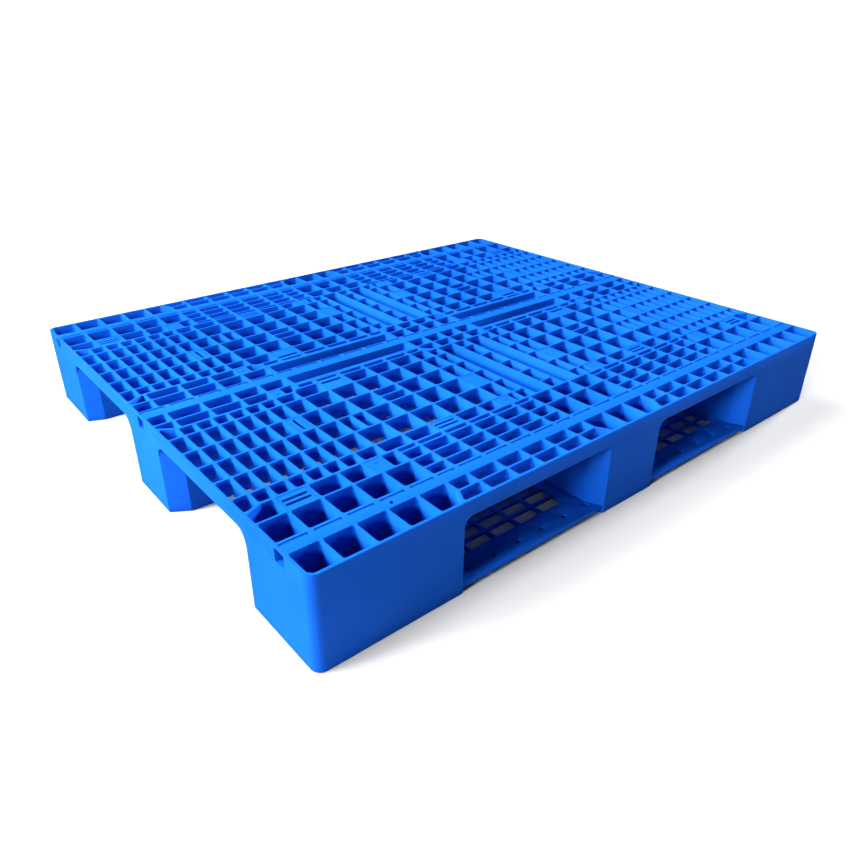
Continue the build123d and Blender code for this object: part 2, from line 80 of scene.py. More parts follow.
# Rounded edges, by their depth, and the share of it at which their middle loop lies
RIM_ROUND = 1.4
RIB_ROUND = 1.1
POST_ROUND = 1.0
MOUTH_ROUND = 1.0
BAR_CELL_ROUND = 0.6
HOLE_ROUND = 0.5
ARC_MIDDLE = 0.3

# Edges of other shapes, as pairs of a depth and an inset
POCKET_EDGE = [(0, -0.4), (0.4, 0)]
PLATE_EDGE = [(0, -0.5), (0.3, -0.1)]
GATE_EDGE = [(0, 0.5), (0.2, 0.15), (0.5, 0)]
BAR_ROUND = 0.8
BAR_EDGE = [(0, BAR_ROUND), (0.25, 0.25), (BAR_ROUND, 0)]

# Edges on the ground, as pairs of a height and an inset: around a foot, and around a hole in it
SOLE_EDGE = [(1.6, 0), (0.5, 0.5), (0, 1.6)]
MOUTH_EDGE = [(HOLE_ROUND, 0), (0, -HOLE_ROUND)]

# Legs
LEG_X = 248.5
LEG_Y = 168.5
MID_LEG_X = 522.5
MID_LEG_Y = 422.5
CENTRE_LEG_X = 517.5
LEAD_IN_ALONG_X = 14.5
LEAD_IN_ALONG_Y = 12.5
LEAD_IN_REACH_X = 30.0
LEAD_IN_REACH_Y = 28.0
MID_LEAD_IN = 18.5
INNER_CHAMFER_X = 15.5
INNER_CHAMFER_Y = 17.5
CENTRE_CHAMFER = 17.5

# Tube channels
TUBE_Y = 66.0
CHANNEL_WIDTH = 22.0
CHANNEL_HEIGHT = 20.5
CHANNEL_FLOOR = 1.5
CHANNEL_WALL_LINE = 12.0
MID_CHANNEL_LINE = 13.0
GROOVE_DEPTH = 1.6
GROOVE_ROWS = [(70, 75), (WIDTH - 75, WIDTH - 70), (501, 512)]
GROOVE_MARGIN = 4.0

# Runner bars
BAR_UNDERSIDE = 7.0
BAR_SETBACK = 2.0
BAR_ROOT = 2.0
BAR_HOLE_RADIUS = 4.0
BAR_HOLE_Y = 22.0
BAR_HOLES = 6
BAR_PITCH = 51.0
BAR_FIRST_HOLE = 263.0
BAR_RIB_LINES = [247.1, 296, 347, 398, 449, 500]
BAR_ROW_LINES = [49, 75, 101, 124]
MID_BAR_ROW_LINES = [452, 484, 516, 548]

# Screw seats and drains
SEAT_RADIUS = 6.5
SEAT_DEPTH = 5.0
LEG_BOSS_RADIUS = 7.0
LEG_BOSS_TOP = 60.0
FOOT_BOSS_RADIUS = 9.0
BOSS_ROOF = 0.5
BOSS_GAP = 0.2
DRAIN_RADIUS = 4.0

# Rib lines of the quarter nearest the plan origin
EDGE_LINE = RIM - RIB / 2
EDGE_ROW = 28.0
LEG_ROW = 128.0
MID_LEG_ROW = 454.0
PLATE_LINES = [188.0, 218.0]
TUBE_LINES = [TUBE_Y - CHANNEL_WALL_LINE, TUBE_Y + CHANNEL_WALL_LINE]
MID_TUBE_LINES = [WIDTH / 2 - MID_CHANNEL_LINE, WIDTH / 2 + MID_CHANNEL_LINE]
CORNER_LEG_LINES = [0, 49.2, 98.4, 147.6, 196.8, LEG_X]
END_LEG_LINES = [0, 36, 95, 150, 198, LEG_X]
SIDE_LEG_LINES = [MID_LEG_X, 575, 625, LENGTH - MID_LEG_X]
CENTRE_LEG_LINES = [CENTRE_LEG_X, 560, 600, 640, LENGTH - CENTRE_LEG_X]
GAP_LINES = [LEG_X - RIB / 2, 284, 336, 386, 436, 486, MID_LEG_X + RIB / 2]
GAP_ROWS = [TUBE_LINES[1], 101, LEG_ROW, 154, 166]
END_LINES = [EDGE_LINE, 29, 56, 84, 111, 139, 167, 195, 232]
FIELD_LINES = [232, 283, 334, 385, 435, 485, 518, 545]
ROW_LINES = [LEG_Y - RIB / 2, 196, 246, 296, 346, 396]
LAST_ROW = MID_LEG_Y + RIB / 2
SLOT_ROWS = [396, 433, 447]


# Plan outlines ------------------------------------------------------------------------------

def box_outline(x0, x1, y0, y1):
    """Corners of an upright rectangle, anticlockwise."""
    return [(x0, y0), (x1, y0), (x1, y1), (x0, y1)]


def keep_left(points, start, end, gap=0.0):
    """Part of a convex outline that lies more than gap to the left of the line start to end."""
    run_x = end[0] - start[0]
    run_y = end[1] - start[1]
    run = math.hypot(run_x, run_y)
    sides = [(run_x * (y - start[1]) - run_y * (x - start[0])) / run - gap for x, y in points]
    kept = []
    for i, (x, y) in enumerate(points):
        j = (i + 1) % len(points)
        if sides[i] >= 0:
            kept.append((x, y))
        if sides[i] * sides[j] < 0:
            part = sides[i] / (sides[i] - sides[j])
            kept.append((x + part * (points[j][0] - x), y + part * (points[j][1] - y)))
    return kept


def inside(points, outline, gap):
    """Part of a convex outline that lies inside another one by at least gap."""
    for start, end in zip(outline, outline[1:] + outline[:1]):
        points = keep_left(points, start, end, gap)
    return points


def grid(x_lines, y_lines):
    """Openings between neighbouring rib lines."""
    cells = []
    for x0, x1 in zip(x_lines, x_lines[1:]):
        for y0, y1 in zip(y_lines, y_lines[1:]):
            cells.append(box_outline(x0 + RIB / 2, x1 - RIB / 2, y0 + RIB / 2, y1 - RIB / 2))
    return cells


def turned(points, flip_x, flip_y):
    """Outline mirrored to another quarter, kept anticlockwise."""
    moved = [(LENGTH - x if flip_x else x, WIDTH - y if flip_y else y) for x, y in points]
    return moved[::-1] if flip_x != flip_y else moved


def middle(points):
    """Mean of an outline's corners."""
    return sum(p[0] for p in points) / len(points), sum(p[1] for p in points) / len(points)


def all_quarters(outlines):
    """Every outline in all four quarters, once each."""
    found = {}
    for points in outlines:
        for flip_x in (False, True):
            for flip_y in (False, True):
                copy = turned(points, flip_x, flip_y)
                x, y = middle(copy)
                found.setdefault((round(x, 2), round(y, 2)), copy)
    return list(found.values())


# Leg outlines, anticlockwise, with lead-in chamfers beside the fork openings
ROUND_CUT = CORNER_RADIUS * (2 - math.sqrt(2))
CORNER_LEG = [(0, 0), (LEG_X - LEAD_IN_ALONG_X, 0), (LEG_X, LEAD_IN_REACH_Y), (LEG_X, LEG_Y),
              (LEAD_IN_REACH_X, LEG_Y), (0, LEG_Y - LEAD_IN_ALONG_Y)]
CORNER_LEG_ROUNDED = [(ROUND_CUT, 0)] + CORNER_LEG[1:] + [(0, ROUND_CUT)]
SIDE_LEG = [(MID_LEG_X + LEAD_IN_ALONG_X, 0), (LENGTH - MID_LEG_X - LEAD_IN_ALONG_X, 0),
            (LENGTH - MID_LEG_X, LEAD_IN_REACH_Y), (LENGTH - MID_LEG_X, LEG_Y),
            (MID_LEG_X, LEG_Y), (MID_LEG_X, LEAD_IN_REACH_Y)]
END_LEG = [(0, MID_LEG_Y + MID_LEAD_IN), (LEAD_IN_REACH_X, MID_LEG_Y),
           (LEG_X - INNER_CHAMFER_X, MID_LEG_Y), (LEG_X, MID_LEG_Y + INNER_CHAMFER_Y),
           (LEG_X, WIDTH - MID_LEG_Y - INNER_CHAMFER_Y),
           (LEG_X - INNER_CHAMFER_X, WIDTH - MID_LEG_Y), (LEAD_IN_REACH_X, WIDTH - MID_LEG_Y),
           (0, WIDTH - MID_LEG_Y - MID_LEAD_IN)]
CENTRE_LEG = [(CENTRE_LEG_X + CENTRE_CHAMFER, MID_LEG_Y),
              (LENGTH - CENTRE_LEG_X - CENTRE_CHAMFER, MID_LEG_Y),
              (LENGTH - CENTRE_LEG_X, MID_LEG_Y + CENTRE_CHAMFER),
              (LENGTH - CENTRE_LEG_X, WIDTH - MID_LEG_Y - CENTRE_CHAMFER),
              (LENGTH - CENTRE_LEG_X - CENTRE_CHAMFER, WIDTH - MID_LEG_Y),
              (CENTRE_LEG_X + CENTRE_CHAMFER, WIDTH - MID_LEG_Y),
              (CENTRE_LEG_X, WIDTH - MID_LEG_Y - CENTRE_CHAMFER),
              (CENTRE_LEG_X, MID_LEG_Y + CENTRE_CHAMFER)]

# Solid plates of the deck, each with the slots moulded through it and its raised gate mark
PLATE_SINK = 0.8
GATE_RADIUS = 3.5
PLATES = [
    (box_outline(51.2, 96.4, 130, 163.5),
     [box_outline(54, 93, 139, 144), box_outline(54, 93, 149.5, 154.5)], None),
    (box_outline(336, 383, 168.5, 194),
     [box_outline(339, 380, 174, 178.5), box_outline(339, 380, 184, 188.5)], None),
    (box_outline(285, 332, 398, 446),
     [box_outline(288, 329, 423, 430), box_outline(288, 329, 438, 444)], None),
    (box_outline(169, 193, 298, 344), [box_outline(178, 184, 303, 339)], None),
    (box_outline(487, 516, 248, 294), [], None),
    (box_outline(190, 216, 130, 163.5), [], (204, 156)),
    (box_outline(200, 216, 427.5, 452), [], (207, 438)),
    (box_outline(472, 498, 168.5, 194), [], (488, 184)),
]

# Small pick-out hole in the cover of the near channel, at one place only
NICK = box_outline(159, 165, 58, 64)
NICK_DEPTH = 2.6


def leg_grid(x_lines, y_lines, outline):
    """Openings of one leg, trimmed to leave its outer wall."""
    return [inside(cell, outline, WALL) for cell in grid(x_lines, y_lines)]


def corner_leg_cells():
    """Deck openings over a corner leg: two deep rows, then a row broken up by plates."""
    cells = []
    for rows in ([0, TUBE_LINES[0]], [TUBE_LINES[1], LEG_ROW]):
        cells += leg_grid(CORNER_LEG_LINES, rows, CORNER_LEG_ROUNDED)
    for x_lines in ([0, 49.2], [98.4, 147.6, PLATE_LINES[0]], [PLATE_LINES[1], LEG_X]):
        cells += leg_grid(x_lines, [LEG_ROW, LEG_Y], CORNER_LEG)
    return cells


def side_strip_cells():
    """Deck openings over the side fork opening, the end ones running to the legs' chamfers."""
    cells = grid(GAP_LINES[1:-1], [EDGE_LINE, EDGE_ROW])
    high = EDGE_ROW - RIB / 2
    first = box_outline(LEG_X - LEAD_IN_ALONG_X, GAP_LINES[1] - RIB / 2, RIM, high)
    cells.append(keep_left(first, CORNER_LEG[2], CORNER_LEG[1]))
    last = box_outline(GAP_LINES[-2] + RIB / 2, MID_LEG_X + LEAD_IN_ALONG_X, RIM, high)
    cells.append(keep_left(last, SIDE_LEG[0], SIDE_LEG[5]))
    cells += grid(GAP_LINES, [EDGE_ROW, TUBE_LINES[0]])
    cells += grid(GAP_LINES, GAP_ROWS)
    return cells


def end_strip_cells():
    """Close ribs of the deck over the end fork opening."""
    cells = grid(END_LINES[1:], ROW_LINES[:4])
    cells += grid(END_LINES[1:7], ROW_LINES[3:5])
    cells += grid(END_LINES[7:], ROW_LINES[3:5])
    cells += grid(END_LINES[1:], ROW_LINES[4:] + [LAST_ROW])
    cells += grid(END_LINES[:2], ROW_LINES[1:])
    low = box_outline(RIM, END_LINES[1] - RIB / 2, LEG_Y - LEAD_IN_ALONG_Y, ROW_LINES[1] - RIB / 2)
    cells.append(keep_left(low, CORNER_LEG[5], CORNER_LEG[4]))
    high = box_outline(RIM, END_LINES[1] - RIB / 2, ROW_LINES[5] + RIB / 2, MID_LEG_Y + MID_LEAD_IN)
    cells.append(keep_left(high, END_LEG[1], END_LEG[0]))
    return cells


def field_cells():
    """Main grid of the deck, with the places of its plates left out."""
    cells = grid(FIELD_LINES[:3], ROW_LINES[:2])
    cells += grid(FIELD_LINES[3:5], ROW_LINES[:2])
    cells += grid([FIELD_LINES[4], 470], ROW_LINES[:2])
    cells += grid([500] + FIELD_LINES[6:], ROW_LINES[:2])
    cells += grid(FIELD_LINES, ROW_LINES[1:3])
    cells += grid([FIELD_LINES[0], 257.5, FIELD_LINES[1]], ROW_LINES[2:4])
    cells += grid(FIELD_LINES[1:6], ROW_LINES[2:4])
    cells += grid(FIELD_LINES[6:], ROW_LINES[2:4])
    cells += grid(FIELD_LINES[:3], ROW_LINES[3:5])
    cells += grid(FIELD_LINES[2:4], [ROW_LINES[3], 321, ROW_LINES[4]])
    cells += grid(FIELD_LINES[3:], ROW_LINES[3:5])
    cells += grid(FIELD_LINES, ROW_LINES[4:])
    corner = box_outline(FIELD_LINES[0] + RIB / 2, FIELD_LINES[1] - RIB / 2,
                         SLOT_ROWS[0] + RIB / 2, SLOT_ROWS[1] - RIB / 2)
    cells.append(keep_left(corner, END_LEG[3], END_LEG[2]))
    cells += grid(FIELD_LINES[2:7], SLOT_ROWS[:2])
    cells += grid(FIELD_LINES[6:], [SLOT_ROWS[0], LAST_ROW])
    cells += grid([LEG_X, FIELD_LINES[1]], SLOT_ROWS[1:])
    cells += grid(FIELD_LINES[2:7], SLOT_ROWS[1:])
    return cells


def slot_cells():
    """Long slots beside the middle channel and between the fields, and the cells between those."""
    cells = [box_outline(252.5, 513, 455, MID_TUBE_LINES[0] - RIB / 2)]
    cells.append(box_outline(547, 583, LEG_Y, MID_LEG_Y))
    return cells + grid([585, 615], ROW_LINES + [LAST_ROW])


def mid_leg_cells():
    """Deck openings over the middle legs of a side and an end, and over the centre leg."""
    cells = []
    for rows in ([0, TUBE_LINES[0]], [TUBE_LINES[1], LEG_ROW, LEG_Y]):
        cells += leg_grid(SIDE_LEG_LINES, rows, SIDE_LEG)
    cells += leg_grid(END_LEG_LINES[:5], [MID_LEG_Y, MID_LEG_ROW], END_LEG)
    cells += leg_grid([PLATE_LINES[1], LEG_X], [MID_LEG_Y, MID_LEG_ROW], END_LEG)
    cells += leg_grid(END_LEG_LINES, [MID_LEG_ROW, MID_TUBE_LINES[0]], END_LEG)
    return cells + leg_grid(CENTRE_LEG_LINES, [MID_LEG_Y, MID_LEG_ROW, MID_TUBE_LINES[0]], CENTRE_LEG)


def deck_cells():
    """Every opening of the deck, without the slots of the plates."""
    cells = corner_leg_cells() + side_strip_cells() + end_strip_cells() + field_cells()
    return all_quarters(cells + slot_cells() + mid_leg_cells())


def grooves():
    """Shallow grooves in the covers of the tube channels, stopped at each cross rib."""
    crossings = [0] + CORNER_LEG_LINES[1:5] + [246] + GAP_LINES[1:6] + [525] + SIDE_LEG_LINES[1:2]
    crossings = sorted(crossings + [LENGTH - x for x in crossings])
    outlines = []
    for x0, x1 in zip(crossings, crossings[1:]):
        for low, high in GROOVE_ROWS:
            outlines.append(box_outline(x0 + GROOVE_MARGIN, x1 - GROOVE_MARGIN, low, high))
    return outlines


# Mesh building ------------------------------------------------------------------------------

def place(x, y, z):
    """Point in the row's frame, in metres, from plan millimetres."""
    return Vector(((x - LENGTH / 2) * MM, (y - WIDTH / 2) * MM, z * MM))


def unit(start, end):
    """Direction from one plan point to another."""
    run = math.hypot(end[0] - start[0], end[1] - start[1])
    return ((end[0] - start[0]) / run, (end[1] - start[1]) / run)


def inset(points, gap):
    """Corners of an anticlockwise outline moved inwards by gap."""
    moved = []
    for i, (x, y) in enumerate(points):
        before = unit(points[i - 1], (x, y))
        after = unit((x, y), points[(i + 1) % len(points)])
        reach = gap / (1 + before[0] * after[0] + before[1] * after[1])
        moved.append((x - reach * (before[1] + after[1]), y + reach * (before[0] + after[0])))
    return moved


def rounded(points, gap, radii, steps):
    """Outline inset by gap, with each corner an arc of steps pieces. radii is one or one per corner."""
    if not isinstance(radii, (list, tuple)):
        radii = [radii] * len(points)
    corners = inset(points, gap)
    loop = []
    for i, corner in enumerate(corners):
        before = unit(corners[i - 1], corner)
        after = unit(corner, corners[(i + 1) % len(corners)])
        turn = math.atan2(before[0] * after[1] - before[1] * after[0],
                          before[0] * after[0] + before[1] * after[1])
        nearest = min(math.dist(corners[i - 1], corner),
                      math.dist(corner, corners[(i + 1) % len(corners)]))
        side = 1 if turn > 0 else -1
        half = abs(turn) / 2
        radius = max(radii[i] - side * gap, SMALLEST_ARC)
        radius = min(radius, LONGEST_TANGENT * nearest / math.tan(half))
        tangent = radius * math.tan(half)
        start = (corner[0] - before[0] * tangent, corner[1] - before[1] * tangent)
        centre = (start[0] - side * before[1] * radius, start[1] + side * before[0] * radius)
        heading = math.atan2(start[1] - centre[1], start[0] - centre[0])
        for step in range(steps + 1):
            angle = heading + turn * step / steps
            loop.append((centre[0] + radius * math.cos(angle), centre[1] + radius * math.sin(angle)))
    return loop


def circle(x, y, radius, sides=CIRCLE_SIDES):
    """Round outline."""
    turns = [2 * math.pi * i / sides for i in range(sides)]
    return [(x + radius * math.cos(a), y + radius * math.sin(a)) for a in turns]


# Settings of the triangulation: faces inside the edges only, and how near two points are one, in mm
KEEP_INSIDE = 1
SAME_SPOT = 1e-6


class Shell:
    """Faces of one moulding, built from loops of points at given heights."""

    def __init__(self):
        self.mesh = bmesh.new()

    def loop(self, points, height):
        """Vertices of a level loop."""
        return [self.mesh.verts.new(place(x, y, height)) for x, y in points]

    def band(self, upper, lower, outer, skip=()):
        """Wall between two loops: an outer wall faces out of them, any other faces into them."""
        for i in range(len(upper)):
            if i in skip:
                continue
            j = (i + 1) % len(upper)
            quad = (upper[i], lower[i], lower[j], upper[j])
            face = self.mesh.faces.new(quad if outer else quad[::-1])
            face.smooth = True

    def wall(self, shape, levels, outer):
        """Wall through several levels, each a height and an inset. Returns its first and last loops."""
        loops = [self.loop(shape(gap), height) for height, gap in levels]
        for upper, lower in zip(loops, loops[1:]):
            self.band(upper, lower, outer)
        return loops[0], loops[-1]

    def fill(self, outer, holes=(), up=True, axes=(0, 1)):
        """Flat face inside one loop and outside the others. axes are the two that it is seen along."""
        rings = [list(outer)] + [list(hole) for hole in holes]
        verts = [v for ring in rings for v in ring]
        spots = [Vector((v.co[axes[0]], v.co[axes[1]])) / MM for v in verts]
        edges = []
        owner = []
        for number, ring in enumerate(rings):
            first = len(owner)
            edges += [(first + i, first + (i + 1) % len(ring)) for i in range(len(ring))]
            owner += [number] * len(ring)
        _, _, faces, origin, _, _ = delaunay_2d_cdt(spots, edges, [], KEEP_INSIDE, SAME_SPOT)
        for face in faces:
            ids = [origin[i][0] for i in face]
            owners = {owner[i] for i in ids}
            if len(owners) == 1 and 0 not in owners:
                continue
            self.mesh.faces.new([verts[i] for i in (ids if up else ids[::-1])])

    def post(self, x, y, radius, bottom, top):
        """Closed upright cylinder with a rounded top edge."""
        levels = soft_edge(top, POST_ROUND, 1) + [(bottom, 0)]
        first, last = self.wall(lambda gap: circle(x, y, radius - gap), levels, True)
        self.fill(first)
        self.fill(last, up=False)

    def piece(self, name, node, slot):
        """Finished object that stands for a CAD node."""
        data = bpy.data.meshes.new(name)
        self.mesh.to_mesh(data)
        self.mesh.free()
        data.set_sharp_from_angle(angle=SHARP_FROM)
        data.materials.append(MATERIALS[slot])
        thing = bpy.data.objects.new(name, data)
        bpy.context.scene.collection.objects.link(thing)
        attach(thing, "root")
        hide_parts(node)


def drafted(height):
    """Inset of a cell's wall at a height: the cells narrow downwards so that they leave the mould."""
    return (HEIGHT - height) * DRAFT


def soft_edge(top, depth, side=-1):
    """Levels of a rounded edge at the top of a hole (side -1) or of an outer wall (side 1)."""
    part = ARC_MIDDLE * depth
    return [(top, side * depth), (top - part, side * part), (top - depth, 0)]


def below(top, edge):
    """Levels of an edge given as pairs of a depth and an inset."""
    return [(top - depth, gap) for depth, gap in edge]


# Materials ----------------------------------------------------------------------------------

class Nodes:
    """Small helper that lays out one node material."""

    def __init__(self, name):
        self.material = bpy.data.materials.new(name)
        self.material.use_nodes = True
        self.tree = self.material.node_tree
        self.shader = self.tree.nodes["Principled BSDF"]
        self.place = self.add("ShaderNodeTexCoord").outputs["Object"]

    def add(self, kind, **values):
        """New node with its properties and input values set."""
        node = self.tree.nodes.new(kind)
        for key, value in values.items():
            if hasattr(node, key):
                setattr(node, key, value)
            else:
                node.inputs[key.replace("_", " ")].default_value = value
        return node

    def link(self, source, target):
        """Wire between two sockets."""
        self.tree.links.new(source, target)

    def noise(self, scale, detail=3.0, roughness=0.55, stretch=(1, 1, 1)):
        """Noise over the object's own coordinates, in cycles per metre."""
        mapping = self.add("ShaderNodeMapping")
        mapping.inputs["Scale"].default_value = stretch
        self.link(self.place, mapping.inputs["Vector"])
        node = self.add("ShaderNodeTexNoise", Scale=scale, Detail=detail, Roughness=roughness)
        self.link(mapping.outputs[0], node.inputs["Vector"])
        return node.outputs["Fac"]

    def ramp(self, source, stops):
        """Colour ramp over a source value."""
        node = self.add("ShaderNodeValToRGB")
        while len(node.color_ramp.elements) < len(stops):
            node.color_ramp.elements.new(0.5)
        for element, (position, colour) in zip(node.color_ramp.elements, stops):
            element.position = position
            element.color = colour if len(colour) == 4 else tuple(colour) + (1.0,)
        self.link(source, node.inputs["Fac"])
        return node.outputs["Color"]

    def spread(self, source, low, high, start=0.0, end=1.0):
        """Value mapped from start..end to low..high."""
        node = self.add("ShaderNodeMapRange")
        node.inputs["From Min"].default_value = start
        node.inputs["From Max"].default_value = end
        node.inputs["To Min"].default_value = low
        node.inputs["To Max"].default_value = high
        self.link(source, node.inputs["Value"])
        return node.outputs["Result"]

    def mix(self, factor, first, second):
        """Blend of two colours, by a socket or a number."""
        node = self.add("ShaderNodeMix", data_type="RGBA")
        sockets = (node.inputs["Factor"], node.inputs[6], node.inputs[7])
        for socket, value in zip(sockets, (factor, first, second)):
            if isinstance(value, bpy.types.NodeSocket):
                self.link(value, socket)
            else:
                socket.default_value = value
        return node.outputs[2]

    def bump(self, height, strength, distance, normal=None):
        """Bump from a height in units of distance, metres."""
        node = self.add("ShaderNodeBump")
        node.inputs["Strength"].default_value = strength
        node.inputs["Distance"].default_value = distance
        self.link(height, node.inputs["Height"])
        if normal is not None:
            self.link(normal, node.inputs["Normal"])
        return node.outputs["Normal"]


# Pigment of the mouldings, from the clouds' middle to the scuffs
BLUE = (0.0026, 0.055, 0.34)
DEEP_BLUE = (0.0020, 0.048, 0.30)
PALE_BLUE = (0.0034, 0.064, 0.39)
SCUFF_BLUE = (0.0090, 0.095, 0.48)
FAINT_GLOSS = 0.03


def polyethylene(name, roughness=0.42, scuffs=0.35):
    """Satin moulded polyethylene: clouded pigment, fine grain, sinks and light scuffs."""
    nodes = Nodes(name)
    clouds = nodes.noise(5.0, detail=4.0)
    flow = nodes.noise(22.0, detail=2.0, stretch=(0.25, 1.0, 1.0))
    grain = nodes.noise(1500.0, detail=2.0)
    colour = nodes.ramp(clouds, [(0.3, DEEP_BLUE), (0.5, BLUE), (0.72, PALE_BLUE)])
    streaks = nodes.spread(flow, 0.0, 0.35, 0.52, 0.75)
    colour = nodes.mix(streaks, colour, PALE_BLUE + (1.0,))
    marks = nodes.noise(60.0, detail=8.0, roughness=0.75, stretch=(1.0, 0.35, 2.0))
    scuff = nodes.spread(marks, 0.0, scuffs, 0.66, 0.78)
    colour = nodes.mix(scuff, colour, SCUFF_BLUE + (1.0,))
    nodes.link(colour, nodes.shader.inputs["Base Color"])
    rough = nodes.add("ShaderNodeMath", operation="ADD")
    nodes.link(nodes.spread(clouds, roughness - 0.05, roughness + 0.06, 0.3, 0.7), rough.inputs[0])
    nodes.link(nodes.spread(marks, 0.0, 0.15, 0.6, 0.8), rough.inputs[1])
    nodes.link(rough.outputs[0], nodes.shader.inputs["Roughness"])
    sinks = nodes.bump(nodes.noise(26.0, detail=1.0), 0.25, 0.0006)
    nodes.link(nodes.bump(grain, 0.12, 0.00008, sinks), nodes.shader.inputs["Normal"])
    nodes.shader.inputs["IOR"].default_value = 1.5
    nodes.shader.inputs["Specular IOR Level"].default_value = FAINT_GLOSS
    return nodes.material


def galvanised_steel(name):
    """Zinc-coated tube: soft spangle and drawing lines along the length."""
    nodes = Nodes(name)
    spangle = nodes.add("ShaderNodeTexVoronoi", Scale=90.0)
    nodes.link(nodes.place, spangle.inputs["Vector"])
    tone = nodes.ramp(spangle.outputs["Distance"],
                      [(0.0, (0.42, 0.43, 0.45)), (1.0, (0.66, 0.67, 0.69))])
    nodes.link(tone, nodes.shader.inputs["Base Color"])
    lines = nodes.noise(900.0, detail=3.0, stretch=(0.02, 1.0, 1.0))
    nodes.link(nodes.spread(lines, 0.3, 0.5), nodes.shader.inputs["Roughness"])
    nodes.link(nodes.bump(lines, 0.2, 0.00005), nodes.shader.inputs["Normal"])
    nodes.shader.inputs["Metallic"].default_value = 1.0
    return nodes.material


def zinc_plate(name):
    """Bright zinc plating with faint turning marks."""
    nodes = Nodes(name)
    cloud = nodes.noise(300.0, detail=4.0)
    tone = nodes.ramp(cloud, [(0.3, (0.52, 0.52, 0.50)), (0.7, (0.72, 0.71, 0.68))])
    nodes.link(tone, nodes.shader.inputs["Base Color"])
    nodes.link(nodes.spread(cloud, 0.24, 0.42), nodes.shader.inputs["Roughness"])
    nodes.link(nodes.bump(nodes.noise(2500.0), 0.2, 0.00004), nodes.shader.inputs["Normal"])
    nodes.shader.inputs["Metallic"].default_value = 1.0
    return nodes.material


def plug_polymer(name):
    """Dark moulded polymer of the tube plugs."""
    nodes = Nodes(name)
    cloud = nodes.noise(160.0, detail=4.0)
    tone = nodes.ramp(cloud, [(0.3, (0.0012, 0.012, 0.09)), (0.7, (0.0020, 0.022, 0.16))])
    nodes.link(tone, nodes.shader.inputs["Base Color"])
    nodes.link(nodes.spread(cloud, 0.5, 0.65), nodes.shader.inputs["Roughness"])
    nodes.link(nodes.bump(nodes.noise(1800.0), 0.25, 0.00006), nodes.shader.inputs["Normal"])
    return nodes.material


MATERIALS = {
    "deck_plastic": polyethylene("deck_polyethylene"),
    "leg_plastic": polyethylene("leg_polyethylene"),
    "runner_plastic": polyethylene("runner_polyethylene", roughness=0.46, scuffs=0.6),
    "plug_plastic": plug_polymer("plug_polymer"),
    "tube_steel": galvanised_steel("galvanised_steel"),
    "screw_steel": zinc_plate("zinc_plate"),
}


# Deck ---------------------------------------------------------------------------------------

def deck_plate(shell, outline, slots, gate):
    """Sunk plate between ribs, open below. Returns its loops in the deck's top and bottom faces."""
    top = HEIGHT - PLATE_SINK
    under = top - SKIN

    def edge(gap):
        return rounded(outline, gap, CELL_RADIUS, CELL_STEPS)

    rim, floor = shell.wall(edge, below(HEIGHT, PLATE_EDGE) + [(top, 0)], False)
    ceiling, foot = shell.wall(edge, [(under, 0), (DECK_BOTTOM, 0)], False)
    upper = []
    lower = []
    for slot in slots:
        first, last = shell.wall(lambda gap: rounded(slot, gap, EDGE_RADIUS, CELL_STEPS),
                                 below(top, POCKET_EDGE) + [(under, 0)], False)
        upper.append(first)
        lower.append(last)
    if gate:
        mark, base = shell.wall(lambda gap: circle(*gate, GATE_RADIUS - gap),
                                below(HEIGHT, GATE_EDGE) + [(top, 0)], True)
        shell.fill(mark)
        upper.append(base)
    shell.fill(floor, upper)
    shell.fill(ceiling, lower, up=False)
    return rim, foot


def blind_pocket(shell, outline, depth):
    """Shallow pocket in the deck's top. Returns its loop in the top face."""
    rim, floor = shell.wall(lambda gap: rounded(outline, gap, EDGE_RADIUS / 2, CELL_STEPS),
                            below(HEIGHT, POCKET_EDGE) + [(HEIGHT - depth, 0)], False)
    shell.fill(floor)
    return rim


def tube_channel(shell, y):
    """Square bore from end to end of the deck. Returns its mouths' loops, left and right."""
    floor = DECK_BOTTOM + CHANNEL_FLOOR
    outline = box_outline(y - CHANNEL_WIDTH / 2, y + CHANNEL_WIDTH / 2, floor, floor + CHANNEL_HEIGHT)
    right_mouth = soft_edge(LENGTH, MOUTH_ROUND)
    stations = [(LENGTH - x, gap) for x, gap in right_mouth] + right_mouth[::-1]
    loops = []
    for x, gap in stations:
        points = rounded(outline, gap, EDGE_RADIUS, CELL_STEPS)
        loops.append([shell.mesh.verts.new(place(x, across, up)) for across, up in points])
    for left, right in zip(loops, loops[1:]):
        shell.band(left, right, True)
    return loops[0], loops[-1]


